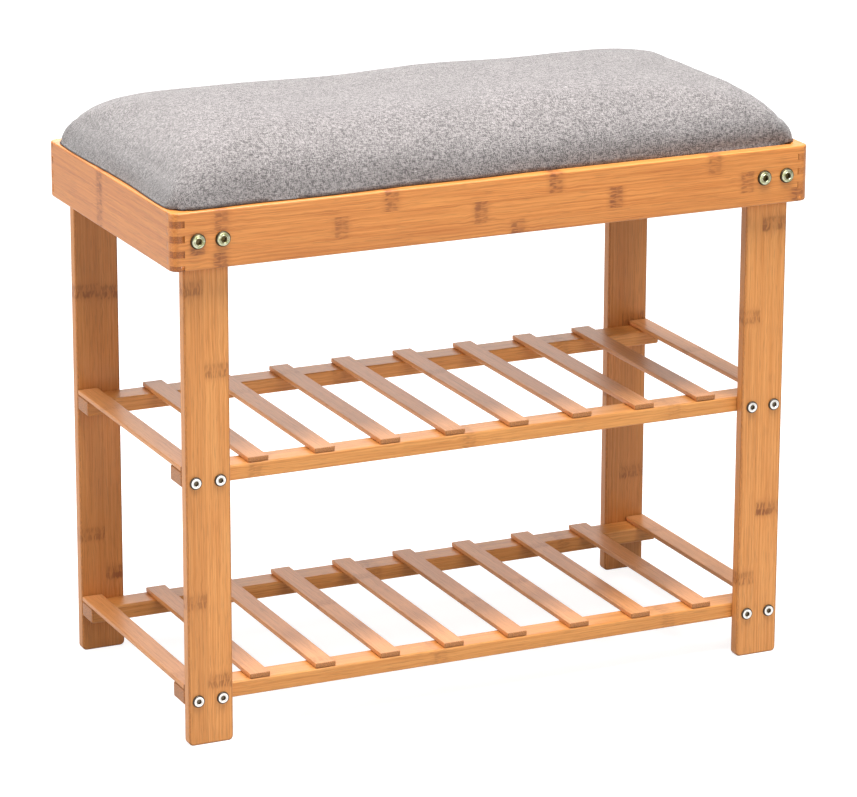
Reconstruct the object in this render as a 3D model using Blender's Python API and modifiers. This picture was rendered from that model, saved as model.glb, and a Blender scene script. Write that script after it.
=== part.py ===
"""Entryway bench: a finger-jointed bamboo tray on four flat legs, two slatted shoe shelves bolted
between the legs, and an upholstered seat pad that drops into the tray and lifts straight out.

The origin is on the floor under the middle of the bench. +X runs along its length, -Y is its front
and +Z is up. Every length is in metres.
"""

import math

import bmesh
import bpy
from mathutils import Matrix

# Driving dimensions
LENGTH = 0.600
DEPTH = 0.294
GAP = 0.0003  # play left between two pieces that touch
EASE = 0.0011  # chamfer that takes the sharp edge off every bamboo piece

TRAY_TOP = 0.4725
TRAY_HEIGHT = 0.050
TRAY_BOARD = 0.0115
TRAY_CORNER_RADIUS = 0.008
TRAY_EDGE_RADIUS = 0.0016
FINGER_PITCH = 0.0127  # one finger of the long board and one of the end board
LONG_FINGER = 0.0069
FINGER_COUNT = 4

LEG_WIDTH = 0.0405
LEG_THICKNESS = 0.0108
LEG_INSET = 0.0142  # from the tray's end to the leg's outer edge
LEG_TOP = 0.4552
FOOT_RADIUS = 0.004

RAIL_DEPTH = 0.025
RAIL_HEIGHT = 0.0138
SHELVES = {"upper": 0.2427, "lower": 0.0479}  # height of the top of each shelf's rails
SLAT_COUNT = 10
SLAT_WIDTH = 0.0187
SLAT_THICKNESS = 0.0042
SLAT_SETBACK = 0.0005  # from the rails' outer faces to the slats' ends

BOLT_X = {"outer": 0.2772, "inner": 0.2550}
BOLT_DROP = 0.0007  # the shelf bolts sit this far under the middle of the rails
BOLT_SHANK_RADIUS = 0.0030
TRAY_BOLT = {"head_radius": 0.0067, "head_height": 0.0032, "shank": 0.0190}
SHELF_BOLT = {"head_radius": 0.0054, "head_height": 0.0019, "shank": 0.0300}
HEX_RADIUS = 0.00231  # a 4 mm hexagon key, across its corners
HEX_DEPTH = 0.0020
BOLT_SIDES = 12

PAD_CLEARANCE = 0.0015  # between the covered pad and the tray's walls
PAD_CORNER_RADIUS = 0.010
CORNER_OPENING = 1.3  # how much the crown's corner radius grows for each metre of inset
CORNER_LIMIT = 0.9  # the largest corner radius, as a share of the half depth left
CROWN_SPREAD = 1.44  # the crown slopes this much farther in from the long edges than from the ends
SHOULDER = 0.0865  # from the pad's ends to the top of the crown
SIDE_BULGE = 0.0008
SIDE_BULGE_Z = 0.482
SIDE_POWER = 0.66
CROWN_POWER = 1.26
COVER_THICKNESS = 0.0012
COVER_TURN_UNDER = 0.030
SEAT_BOARD_THICKNESS = 0.009
CROWN_TOP = 0.5265
BATTEN_WIDTH = 0.040
BATTEN_HEIGHT = 0.015

# Derived places
HALF_LENGTH = LENGTH / 2
HALF_DEPTH = DEPTH / 2
TRAY_BOTTOM = TRAY_TOP - TRAY_HEIGHT
INNER_HALF_LENGTH = HALF_LENGTH - TRAY_BOARD
INNER_HALF_DEPTH = HALF_DEPTH - TRAY_BOARD
LEG_OUTER_X = HALF_LENGTH - LEG_INSET
LEG_INNER_X = LEG_OUTER_X - LEG_WIDTH
LEG_FAR_Y = INNER_HALF_DEPTH - GAP
LEG_NEAR_Y = LEG_FAR_Y - LEG_THICKNESS
RAIL_FAR_Y = LEG_NEAR_Y - GAP
RAIL_NEAR_Y = RAIL_FAR_Y - RAIL_DEPTH
SLAT_HALF_DEPTH = RAIL_FAR_Y - SLAT_SETBACK
TRAY_BOLT_Z = TRAY_TOP - TRAY_HEIGHT / 2
PAD_BOTTOM = LEG_TOP + GAP
SEAT_BOARD_BOTTOM = PAD_BOTTOM + COVER_THICKNESS + GAP
FOAM_BOTTOM = SEAT_BOARD_BOTTOM + SEAT_BOARD_THICKNESS + GAP
PAD_HALF_LENGTH = INNER_HALF_LENGTH - PAD_CLEARANCE - COVER_THICKNESS - GAP
PAD_HALF_DEPTH = INNER_HALF_DEPTH - PAD_CLEARANCE - COVER_THICKNESS - GAP

SIDES = {"left": -1, "right": 1}
FACES = {"front": -1, "back": 1}


def clear_scene():
    for item in list(bpy.data.objects):
        bpy.data.objects.remove(item)


def new_collection(name):
    collection = bpy.data.collections.new(name)
    bpy.context.scene.collection.children.link(collection)
    return collection


def new_material(name, colour, roughness, metallic=0.0):
    material = bpy.data.materials.new(name)
    material.use_nodes = True
    shader = material.node_tree.nodes["Principled BSDF"]
    shader.inputs["Base Color"].default_value = (*colour, 1.0)
    shader.inputs["Roughness"].default_value = roughness
    shader.inputs["Metallic"].default_value = metallic
    material.diffuse_color = (*colour, 1.0)
    return material


clear_scene()
BENCH = new_collection("entryway_bench")
CUTTERS = new_collection("cutters")
CUTTERS.hide_render = True

MATERIALS = {
    "bamboo_tray": new_material("bamboo_tray", (0.66, 0.36, 0.13), 0.42),
    "bamboo_leg": new_material("bamboo_leg", (0.64, 0.34, 0.12), 0.45),
    "bamboo_rail": new_material("bamboo_rail", (0.62, 0.33, 0.12), 0.45),
    "bamboo_slat": new_material("bamboo_slat", (0.68, 0.40, 0.17), 0.48),
    "zinc_bolt": new_material("zinc_bolt", (0.72, 0.70, 0.62), 0.28, 1.0),
    "plywood": new_material("plywood", (0.60, 0.45, 0.28), 0.70),
    "foam": new_material("foam", (0.82, 0.78, 0.62), 0.95),
    "grey_fabric": new_material("grey_fabric", (0.32, 0.32, 0.33), 0.92),
}


def new_empty(name):
    empty = bpy.data.objects.new(name, None)
    BENCH.objects.link(empty)
    return empty


FRAME = new_empty("frame_origin")
SEAT_PAD = new_empty("seat_pad_origin")


def add_part(name, mesh, material, location=(0, 0, 0), parent=FRAME):
    """A named sub-part with its own material."""
    part = bpy.data.objects.new(name, mesh)
    part.location = location
    part.parent = parent
    BENCH.objects.link(part)
    if not mesh.materials:
        mesh.materials.append(MATERIALS[material])
    return part


def add_cutter(name, mesh):
    cutter = bpy.data.objects.new(name, mesh)
    cutter.hide_render = True
    cutter.display_type = "WIRE"
    CUTTERS.objects.link(cutter)
    return cutter


def mesh_from(name, bm, smooth_below=None):
    mesh = bpy.data.meshes.new(name)
    bm.to_mesh(mesh)
    bm.free()
    if smooth_below is not None:
        mesh.shade_smooth()
        mesh.set_sharp_from_angle(angle=math.radians(smooth_below))
    return mesh


def add_box(bm, low, high):
    """Adds a box between two corners to a bmesh, and returns its vertices."""
    size = [b - a for a, b in zip(low, high)]
    middle = [(a + b) / 2 for a, b in zip(low, high)]
    place = Matrix.Translation(middle) @ Matrix.Diagonal((*size, 1))
    return bmesh.ops.create_cube(bm, size=1, matrix=place)["verts"]


def add_rod(bm, radius, start, end, x, z):
    """Adds a round rod along Y, from start to end, to a bmesh."""
    turn = Matrix.Rotation(math.pi / 2, 4, "X")
    place = Matrix.Translation((x, (start + end) / 2, z)) @ turn
    bmesh.ops.create_cone(
        bm, cap_ends=True, segments=BOLT_SIDES, radius1=radius, radius2=radius,
        depth=abs(end - start), matrix=place,
    )


def chamfer(part, width=EASE):
    bevel = part.modifiers.new("eased_edges", "BEVEL")
    bevel.width = width
    bevel.segments = 1
    bevel.limit_method = "ANGLE"
    bevel.angle_limit = math.radians(40)


def boolean(part, operation, other):
    modifier = part.modifiers.new(f"{operation.lower()}_{other.name}", "BOOLEAN")
    modifier.operation = operation
    modifier.solver = "EXACT"
    modifier.object = other


def add_board(name, low, high, material, parent=FRAME, width=EASE):
    """A straight piece of bamboo or plywood between two corners, with eased edges."""
    bm = bmesh.new()
    half = [(b - a) / 2 for a, b in zip(low, high)]
    add_box(bm, [-h for h in half], half)
    middle = [(a + b) / 2 for a, b in zip(low, high)]
    board = add_part(name, mesh_from(name, bm), material, middle, parent)
    chamfer(board, width)
    return board


# Bolts: where they go, and the holes they need

def shelf_bolt_z(shelf):
    return SHELVES[shelf] - RAIL_HEIGHT / 2 - BOLT_DROP


def bolt_places():
    """Every bolt as (name, kind, x, y under the head, z, +1 or -1 for the way the head faces)."""
    for face, y_sign in FACES.items():
        for side, x_sign in SIDES.items():
            for spot, x in BOLT_X.items():
                where = f"{face}_{side}_{spot}"
                yield f"tray_bolt_{where}", "tray", x_sign * x, y_sign * (HALF_DEPTH + GAP), TRAY_BOLT_Z, y_sign
                for shelf in SHELVES:
                    y = y_sign * (LEG_FAR_Y + GAP)
                    yield f"{shelf}_bolt_{where}", "shelf", x_sign * x, y, shelf_bolt_z(shelf), y_sign


def bolt_holes(name, wanted):
    """One cutter with the clearance hole of every bolt that wanted() picks."""
    bm = bmesh.new()
    radius = (BOLT_SHANK_RADIUS + GAP) / math.cos(math.pi / BOLT_SIDES)
    for bolt, kind, x, y, z, y_sign in bolt_places():
        if wanted(bolt):
            length = TRAY_BOLT["shank"] if kind == "tray" else SHELF_BOLT["shank"]
            add_rod(bm, radius, y + y_sign * 0.005, y - y_sign * (length + GAP), x, z)
    return add_cutter(name, mesh_from(name, bm))


# Tray: one sanded ring, divided into four boards at finger joints

def quarter(centre, radius, first_angle, steps):
    """Points along a quarter circle."""
    for i in range(steps + 1):
        angle = first_angle + math.pi / 2 * i / steps
        yield centre[0] + radius * math.cos(angle), centre[1] + radius * math.sin(angle)


def tray_section():
    """The tray's rounded wall section, as (distance in from the outside, height) points."""
    r = TRAY_EDGE_RADIUS
    wide, high = TRAY_BOARD, TRAY_HEIGHT
    corners = [((r, r), math.pi), ((wide - r, r), 1.5 * math.pi), ((wide - r, high - r), 0),
               ((r, high - r), math.pi / 2)]
    for centre, first_angle in corners:
        yield from quarter(centre, r, first_angle, 2)


def tray_ring():
    """The whole tray wall: its section carried round the rectangle, with round outer corners."""
    stations = 6
    section = list(tray_section())
    bm = bmesh.new()
    rings = []
    for turn in range(4):
        x_sign, y_sign = [(1, 1), (-1, 1), (-1, -1), (1, -1)][turn]
        for i in range(stations + 1):
            angle = math.pi / 2 * (turn + i / stations)
            ring = []
            for inset, height in section:
                radius = max(TRAY_CORNER_RADIUS - inset, 0)
                centre_x = x_sign * (HALF_LENGTH - max(TRAY_CORNER_RADIUS, inset))
                centre_y = y_sign * (HALF_DEPTH - max(TRAY_CORNER_RADIUS, inset))
                x = centre_x + radius * math.cos(angle)
                y = centre_y + radius * math.sin(angle)
                ring.append(bm.verts.new((x, y, TRAY_BOTTOM + height)))
            rings.append(ring)
    for ring, following in zip(rings, rings[1:] + rings[:1]):
        for i, vertex in enumerate(ring):
            j = (i + 1) % len(ring)
            bm.faces.new((vertex, following[i], following[j], ring[j]))
    bmesh.ops.remove_doubles(bm, verts=bm.verts, dist=1e-6)
    bmesh.ops.recalc_face_normals(bm, faces=bm.faces)
    return mesh_from("tray_ring", bm, smooth_below=50)


def finger_spans(long_board):
    """Heights (low, high) of the fingers of the long boards or of the end boards, from the top down."""
    for i in range(FINGER_COUNT):
        top = TRAY_TOP - i * FINGER_PITCH
        split = top - LONG_FINGER
        low, high = (split, top) if long_board else (max(top - FINGER_PITCH, TRAY_BOTTOM), split)
        past_top = 0.005 if high == TRAY_TOP else -GAP / 2
        past_bottom = 0.005 if low == TRAY_BOTTOM else -GAP / 2
        yield low - past_bottom, high + past_top


def add_tray_board(name, ring, along_x, sign):
    """A board of the tray: the part of the ring that lies in the board's own wall and fingers."""
    long_half, wall, wall_half = (
        (HALF_LENGTH, INNER_HALF_DEPTH, HALF_DEPTH) if along_x
        else (HALF_DEPTH, INNER_HALF_LENGTH, HALF_LENGTH)
    )
    outside = 0.010
    shoulder = long_half - TRAY_BOARD - GAP / 2

    def box_corners(run_low, run_high, inner, z_low, z_high):
        across = sorted((sign * inner, sign * (wall_half + outside)))
        low, high = (run_low, across[0], z_low), (run_high, across[1], z_high)
        if along_x:
            return low, high
        return (low[1], low[0], low[2]), (high[1], high[0], high[2])

    bm = bmesh.new()
    add_box(bm, *box_corners(-shoulder, shoulder, wall - 0.005, TRAY_BOTTOM - outside, TRAY_TOP + outside))
    body = add_cutter(f"{name}_body", mesh_from(f"{name}_body", bm))
    bm = bmesh.new()
    for low, high in finger_spans(along_x):
        for end in (-1, 1):
            run = sorted((end * (shoulder - 0.004), end * (long_half + outside)))
            add_box(bm, *box_corners(*run, wall + GAP / 2, low, high))
    fingers = add_cutter(f"{name}_fingers", mesh_from(f"{name}_fingers", bm))
    boolean(body, "UNION", fingers)
    board = add_part(name, ring, "bamboo_tray")
    boolean(board, "INTERSECT", body)
    return board


def add_tray():
    ring = tray_ring()
    holes = bolt_holes("tray_bolt_holes", lambda bolt: bolt.startswith("tray"))
    for face, sign in FACES.items():
        board = add_tray_board(f"tray_{face}_board", ring, True, sign)
        boolean(board, "DIFFERENCE", holes)
    for side, sign in SIDES.items():
        add_tray_board(f"tray_{side}_board", ring, False, sign)


# Legs, rails and slats

def add_leg(face, side):
    """A flat leg with a rounded foot, drilled for its tray bolts and its shelf bolts."""
    x_sign, y_sign = SIDES[side], FACES[face]
    xs = sorted((x_sign * LEG_INNER_X, x_sign * LEG_OUTER_X))
    ys = sorted((y_sign * LEG_NEAR_Y, y_sign * LEG_FAR_Y))
    name = f"leg_{face}_{side}"
    leg = add_board(name, (xs[0], ys[0], 0), (xs[1], ys[1], LEG_TOP), "bamboo_leg")
    bm = bmesh.new()
    bm.from_mesh(leg.data)
    foot_edges = [
        edge for edge in bm.edges
        if all(v.co.z < 0 for v in edge.verts) and edge.verts[0].co.x == edge.verts[1].co.x
    ]
    bmesh.ops.bevel(bm, geom=foot_edges, offset=FOOT_RADIUS, segments=3, profile=0.5, affect="EDGES")
    bm.to_mesh(leg.data)
    bm.free()
    holes = bolt_holes(f"{name}_holes", lambda bolt: f"_{face}_{side}_" in bolt)
    boolean(leg, "DIFFERENCE", holes)


def add_rail(shelf, face):
    y_sign = FACES[face]
    ys = sorted((y_sign * RAIL_NEAR_Y, y_sign * RAIL_FAR_Y))
    top = SHELVES[shelf]
    low, high = (-LEG_OUTER_X, ys[0], top - RAIL_HEIGHT), (LEG_OUTER_X, ys[1], top)
    name = f"{shelf}_shelf_{face}_rail"
    rail = add_board(name, low, high, "bamboo_rail")
    holes = bolt_holes(f"{name}_holes", lambda bolt: bolt.startswith(f"{shelf}_bolt_{face}"))
    boolean(rail, "DIFFERENCE", holes)


def add_slats(shelf):
    """Evenly spaced slats across both rails. The end slats are flush with the rails' ends."""
    bottom = SHELVES[shelf] + GAP
    pitch = (2 * LEG_OUTER_X - SLAT_WIDTH) / (SLAT_COUNT - 1)
    for i in range(SLAT_COUNT):
        left = -LEG_OUTER_X + i * pitch
        low = (left, -SLAT_HALF_DEPTH, bottom)
        high = (left + SLAT_WIDTH, SLAT_HALF_DEPTH, bottom + SLAT_THICKNESS)
        add_board(f"{shelf}_shelf_slat_{i + 1:02d}", low, high, "bamboo_slat", width=0.0007)


# Bolts

def bolt_mesh(name, head_radius, head_height, shank):
    """A domed bolt along Z with its head on top, turned from a half section, with a hexagon socket."""
    edge = 0.4 * head_height
    section = [
        (0, head_height), (0.55 * head_radius, head_height), (head_radius, edge), (head_radius, 0),
        (BOLT_SHANK_RADIUS, 0), (BOLT_SHANK_RADIUS, -shank), (0, -shank),
    ]
    bm = bmesh.new()
    points = [bm.verts.new((x, 0, z)) for x, z in section]
    for a, b in zip(points, points[1:]):
        bm.edges.new((a, b))
    blank = add_cutter(f"{name}_blank", mesh_from(f"{name}_blank", bm))
    screw = blank.modifiers.new("turn", "SCREW")
    screw.steps = BOLT_SIDES
    screw.render_steps = BOLT_SIDES
    screw.use_merge_vertices = True
    screw.merge_threshold = 0.00001
    bm = bmesh.new()
    place = Matrix.Translation((0, 0, head_height))
    bmesh.ops.create_cone(
        bm, cap_ends=True, segments=6, radius1=HEX_RADIUS, radius2=HEX_RADIUS,
        depth=2 * HEX_DEPTH, matrix=place,
    )
    socket = add_cutter(f"{name}_socket", mesh_from(f"{name}_socket", bm))
    boolean(blank, "DIFFERENCE", socket)
    bpy.context.view_layer.update()
    graph = bpy.context.evaluated_depsgraph_get()
    mesh = bpy.data.meshes.new_from_object(blank.evaluated_get(graph))
    mesh.name = name
    mesh.shade_smooth()
    mesh.set_sharp_from_angle(angle=math.radians(35))
    bpy.data.objects.remove(blank)
    bpy.data.objects.remove(socket)
    return mesh


def add_bolts():
    meshes = {"tray": bolt_mesh("tray_bolt", **TRAY_BOLT), "shelf": bolt_mesh("shelf_bolt", **SHELF_BOLT)}
    for name, kind, x, y, z, y_sign in bolt_places():
        bolt = add_part(name, meshes[kind], "zinc_bolt", (x, y, z))
        bolt.rotation_euler = (-y_sign * math.pi / 2, 0, 0)


# Seat pad: plywood board, foam block, and a fabric cover drawn over both

def pad_ring(bm, inset, z):
    """A ring of the pad's rounded outline, this far inside its edge. Its corners open as it shrinks."""
    steps = 4
    inset_y = inset * CROWN_SPREAD if inset > 0 else inset
    half_depth = PAD_HALF_DEPTH - inset_y
    radius = min(PAD_CORNER_RADIUS + CORNER_OPENING * max(inset, 0), CORNER_LIMIT * half_depth)
    centre_x = PAD_HALF_LENGTH - inset - radius
    centre_y = half_depth - radius
    ring = []
    for turn in range(4):
        x_sign, y_sign = [(1, 1), (-1, 1), (-1, -1), (1, -1)][turn]
        for x, y in quarter((x_sign * centre_x, y_sign * centre_y), radius, turn * math.pi / 2, steps):
            ring.append(bm.verts.new((x, y, z)))
    return ring


def join_rings(bm, rings):
    for ring, following in zip(rings, rings[1:]):
        for i, vertex in enumerate(ring):
            j = (i + 1) % len(ring)
            bm.faces.new((vertex, ring[j], following[j], following[i]))


def foam_profile():
    """The foam's side and crown as (inset, z) points: straight in the tray, then bulging, then domed."""
    crown = CROWN_TOP - COVER_THICKNESS - GAP
    yield 0, FOAM_BOTTOM
    yield 0, TRAY_TOP + 0.001
    steps = 8
    for i in range(steps + 1):
        angle = math.pi / 2 * i / steps
        across = math.cos(angle) ** SIDE_POWER if i < steps else 0
        up = math.sin(angle) ** CROWN_POWER
        yield -SIDE_BULGE + (SHOULDER + SIDE_BULGE) * (1 - across), SIDE_BULGE_Z + (crown - SIDE_BULGE_Z) * up


def offset_profile(points, distance):
    """The same profile moved out along its own normals."""
    for i, (inset, z) in enumerate(points):
        before, after = points[max(i - 1, 0)], points[min(i + 1, len(points) - 1)]
        run, rise = after[0] - before[0], after[1] - before[1]
        length = math.hypot(run, rise)
        yield inset - distance * rise / length, z + distance * run / length


def add_seat_pad():
    low = (-PAD_HALF_LENGTH, -PAD_HALF_DEPTH, SEAT_BOARD_BOTTOM)
    high = (PAD_HALF_LENGTH, PAD_HALF_DEPTH, SEAT_BOARD_BOTTOM + SEAT_BOARD_THICKNESS)
    bm = bmesh.new()
    rings = [pad_ring(bm, 0, low[2]), pad_ring(bm, 0, high[2])]
    join_rings(bm, rings)
    bm.faces.new(rings[0][::-1])
    bm.faces.new(rings[-1])
    add_part("seat_board", mesh_from("seat_board", bm, smooth_below=40), "plywood", parent=SEAT_PAD)

    profile = list(foam_profile())
    bm = bmesh.new()
    rings = [pad_ring(bm, inset, z) for inset, z in profile]
    join_rings(bm, rings)
    bm.faces.new(rings[0][::-1])
    bm.faces.new(rings[-1])
    add_part("seat_foam", mesh_from("seat_foam", bm, smooth_below=60), "foam", parent=SEAT_PAD)

    under = PAD_BOTTOM + COVER_THICKNESS
    skin = [(COVER_TURN_UNDER, under), (-GAP, under)] + list(offset_profile(profile, GAP))[1:]
    bm = bmesh.new()
    rings = [pad_ring(bm, inset, z) for inset, z in skin]
    join_rings(bm, rings)
    bm.faces.new(rings[-1])
    cover = add_part("seat_cover", mesh_from("seat_cover", bm, smooth_below=60), "grey_fabric", parent=SEAT_PAD)
    cloth = cover.modifiers.new("cloth_thickness", "SOLIDIFY")
    cloth.thickness = COVER_THICKNESS
    cloth.offset = 1
    cloth.use_even_offset = True


def add_batten():
    """A cross batten under the middle of the pad, glued between the tray's long boards."""
    half = INNER_HALF_DEPTH - GAP
    low = (-BATTEN_WIDTH / 2, -half, LEG_TOP - BATTEN_HEIGHT)
    high = (BATTEN_WIDTH / 2, half, LEG_TOP)
    add_board("seat_batten", low, high, "bamboo_rail")


add_tray()
for face_name in FACES:
    for side_name in SIDES:
        add_leg(face_name, side_name)
for shelf_name in SHELVES:
    for face_name in FACES:
        add_rail(shelf_name, face_name)
    add_slats(shelf_name)
add_bolts()
add_batten()
add_seat_pad()
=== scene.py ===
# %% [markdown]
# # A bamboo entryway bench
# A shallow finger-jointed tray stands on four flat legs, two slatted shelves for shoes are bolted
# between them, and a grey upholstered pad drops into the tray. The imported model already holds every
# piece at its real size. This lesson gives the pieces their rounded edges, grain, weave and plating.

import math
import random

import bmesh
import bpy
from mathutils import Matrix, Quaternion, Vector


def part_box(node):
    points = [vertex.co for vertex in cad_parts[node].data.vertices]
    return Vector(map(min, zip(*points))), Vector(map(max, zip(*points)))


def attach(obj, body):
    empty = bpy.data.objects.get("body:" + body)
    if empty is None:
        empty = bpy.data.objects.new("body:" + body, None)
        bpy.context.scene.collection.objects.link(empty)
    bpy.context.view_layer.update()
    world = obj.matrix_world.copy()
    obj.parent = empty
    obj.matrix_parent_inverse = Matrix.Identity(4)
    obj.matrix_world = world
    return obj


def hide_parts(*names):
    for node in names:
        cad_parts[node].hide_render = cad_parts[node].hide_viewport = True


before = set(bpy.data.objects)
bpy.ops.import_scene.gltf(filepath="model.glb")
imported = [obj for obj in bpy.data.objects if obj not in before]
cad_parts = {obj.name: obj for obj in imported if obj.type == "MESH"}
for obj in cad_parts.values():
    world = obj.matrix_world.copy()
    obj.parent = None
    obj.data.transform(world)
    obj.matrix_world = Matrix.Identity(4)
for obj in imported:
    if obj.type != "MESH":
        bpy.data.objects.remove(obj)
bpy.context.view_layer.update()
X, Y, Z = range(3)
TRAY_LOW, TRAY_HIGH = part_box("tray_front_board")
RIM = TRAY_HIGH.z

# %% [markdown]
# ## Camera
# The bench is seen from the front left and a little above, through a long lens that keeps the legs
# almost parallel. A camera needs a place, a point to aim at and a lens. The small shift slides the
# picture without tilting the camera, which keeps the bench's uprights upright.

# %% Camera
CAMERA_PLACE = Vector((-1.513, -3.247, 1.3205))
CAMERA_AIM = Vector((0.0008, 0.0, 0.2825))
CAMERA_ROLL = 0.003

camera_data = bpy.data.cameras.new("camera")
camera_data.lens = 176.1
camera_data.sensor_width = 36.0
camera_data.shift_y = -0.0566
camera = bpy.data.objects.new("camera", camera_data)
bpy.context.scene.collection.objects.link(camera)
camera.location = CAMERA_PLACE
camera.rotation_mode = "QUATERNION"
looking = (CAMERA_AIM - CAMERA_PLACE).to_track_quat("-Z", "Y")
camera.rotation_quaternion = looking @ Quaternion((0, 0, 1), CAMERA_ROLL)
bpy.context.scene.camera = camera
print("camera stands", round((CAMERA_AIM - CAMERA_PLACE).length, 2), "m away")

# %% [markdown]
# ## Node helpers
# Materials and Geometry Nodes are both trees of nodes. One helper adds a node, and fills each input
# with either a number or another node's output, so that a tree reads like a list of steps.

# %% Node helpers
class Tree:
    """A node tree that is being wired up."""

    def __init__(self, tree):
        self.tree = tree

    def add(self, kind, inputs=None, **settings):
        """Adds a node. A value for an input is a constant or another node's output."""
        node = self.tree.nodes.new(kind)
        for name, value in settings.items():
            setattr(node, name, value)
        for name, value in (inputs or {}).items():
            if isinstance(value, bpy.types.NodeSocket):
                self.tree.links.new(value, node.inputs[name])
            else:
                node.inputs[name].default_value = value
        return node

    def out(self, kind, inputs=None, **settings):
        """Adds a node and returns its first output."""
        return self.add(kind, inputs, **settings).outputs[0]


class Finish(Tree):
    """A material: its Principled shader, and short names for the nodes that a finish needs."""

    def __init__(self, name):
        self.material = bpy.data.materials.new(name)
        self.material.use_nodes = True
        super().__init__(self.material.node_tree)
        self.shader = self.tree.nodes["Principled BSDF"]

    def surface(self, **inputs):
        """Sets the shader's own sockets: Base_Color stands for Base Color."""
        for name, value in inputs.items():
            socket = self.shader.inputs[name.replace("_", " ")]
            if isinstance(value, bpy.types.NodeSocket):
                self.tree.links.new(value, socket)
            else:
                socket.default_value = value

    def math(self, operation, *values):
        return self.out("ShaderNodeMath", dict(enumerate(values)), operation=operation)

    def sum(self, *values):
        total = values[0]
        for value in values[1:]:
            total = self.math("ADD", total, value)
        return total

    def product(self, *values):
        total = values[0]
        for value in values[1:]:
            total = self.math("MULTIPLY", total, value)
        return total

    def minus(self, first, second):
        return self.math("SUBTRACT", first, second)

    def vector(self, x, y, z):
        return self.out("ShaderNodeCombineXYZ", {0: x, 1: y, 2: z})

    def scaled(self, parts, factors):
        """A place for a noise: each coordinate times its own factor."""
        pairs = zip(parts, factors)
        return self.vector(*[part if factor == 1 else self.product(part, factor) for part, factor in pairs])

    def split(self, vector):
        return self.add("ShaderNodeSeparateXYZ", {0: vector}).outputs

    def stored(self, name, output="Vector"):
        """Reads an attribute that was stored on the mesh."""
        return self.add("ShaderNodeAttribute", attribute_name=name).outputs[output]

    def noise(self, place, detail=2.0, roughness=0.5):
        inputs = {"Vector": place, "Scale": 1.0, "Detail": detail, "Roughness": roughness}
        return self.out("ShaderNodeTexNoise", inputs)

    def fade(self, value, start, end):
        """0 at start and 1 at end, with a smooth step between them."""
        inputs = {"Value": value, "From Min": start, "From Max": end}
        return self.out("ShaderNodeMapRange", inputs, interpolation_type="SMOOTHSTEP")

    def blend(self, amount, first, second):
        """Mixes two colours."""
        node = self.add("ShaderNodeMix", {0: amount}, data_type="RGBA")
        for socket, colour in zip((node.inputs[6], node.inputs[7]), (first, second)):
            if isinstance(colour, bpy.types.NodeSocket):
                self.tree.links.new(colour, socket)
            else:
                socket.default_value = (*colour, 1.0)
        return node.outputs[2]

    def shade(self, colour, amount):
        """Makes a colour darker or lighter by a factor."""
        inputs = {0: 1.0, 6: colour, 7: self.vector(amount, amount, amount)}
        node = self.add("ShaderNodeMix", inputs, data_type="RGBA", blend_type="MULTIPLY")
        return node.outputs[2]

    def relief(self, height, depth, strength=1.0):
        inputs = {"Height": height, "Distance": depth, "Strength": strength}
        return self.add("ShaderNodeBump", inputs).outputs["Normal"]


# %% [markdown]
# ## Studio
# A product like this is lit by a big soft light overhead and a weaker one in front, on a white floor.
# The floor and the surroundings look white to the camera, but they light the bench only a little:
# that keeps the shade under the tray, which shows how deep the bench is.

# %% Floor and surroundings
FLOOR_HALF = 9.0

floor_finish = Finish("studio_floor")
floor_place = floor_finish.add("ShaderNodeTexCoord").outputs["Object"]
floor_tone = floor_finish.noise(floor_place, detail=3.0)
floor_colour = floor_finish.blend(floor_tone, (0.38, 0.38, 0.38), (0.42, 0.42, 0.42))
floor_finish.surface(Base_Color=floor_colour, Roughness=0.9, Specular_IOR_Level=0.2)
ray = floor_finish.add("ShaderNodeLightPath").outputs
glow_seen = floor_finish.product(ray["Is Camera Ray"], 0.85)
glow_mirrored = floor_finish.product(ray["Is Glossy Ray"], 0.55)
glow = floor_finish.sum(glow_seen, glow_mirrored)
floor_finish.surface(Emission_Color=(1, 1, 1, 1), Emission_Strength=glow)

bm = bmesh.new()
bmesh.ops.create_grid(bm, x_segments=4, y_segments=4, size=FLOOR_HALF)
floor_mesh = bpy.data.meshes.new("studio_floor")
bm.to_mesh(floor_mesh)
bm.free()
floor_mesh.materials.append(floor_finish.material)
floor = bpy.data.objects.new("studio_floor", floor_mesh)
bpy.context.scene.collection.objects.link(floor)

world = bpy.data.worlds.new("studio")
world.use_nodes = True
bpy.context.scene.world = world
sky = Tree(world.node_tree)
ray = sky.add("ShaderNodeLightPath").outputs
seen = sky.out("ShaderNodeMath", {0: ray["Is Camera Ray"], 1: 0.90, 2: 0.11}, operation="MULTIPLY_ADD")
mirrored = {0: ray["Is Glossy Ray"], 1: 0.55, 2: seen}
strength = sky.out("ShaderNodeMath", mirrored, operation="MULTIPLY_ADD")
backdrop = world.node_tree.nodes["Background"]
backdrop.inputs["Color"].default_value = (1, 1, 1, 1)
world.node_tree.links.new(strength, backdrop.inputs["Strength"])

# %% Soft lights
def soft_light(name, place, size, power, colour=(1, 1, 1), aim=(0, 0, 0.3)):
    data = bpy.data.lights.new(name, "AREA")
    data.shape = "RECTANGLE"
    data.size, data.size_y = size
    data.energy = power
    data.color = colour
    light = bpy.data.objects.new(name, data)
    bpy.context.scene.collection.objects.link(light)
    light.location = place
    light.rotation_euler = (Vector(aim) - Vector(place)).to_track_quat("-Z", "Y").to_euler()


soft_light("overhead", (0.0, -0.45, 2.7), (1.8, 1.4), 140)
soft_light("front", (0.3, -3.0, 1.8), (1.8, 1.2), 30, (1.0, 0.98, 0.96), (0, 0, 0.15))
soft_light("low_front", (0.0, -2.6, 0.25), (1.8, 0.6), 7, (1.0, 0.98, 0.96), (0, 0, 0.0))
soft_light("left", (-2.0, 0.25, 1.0), (1.0, 1.4), 23, (1.0, 0.96, 0.94))
soft_light("behind", (0.6, 2.8, 1.6), (2.4, 1.4), 22)

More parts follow.
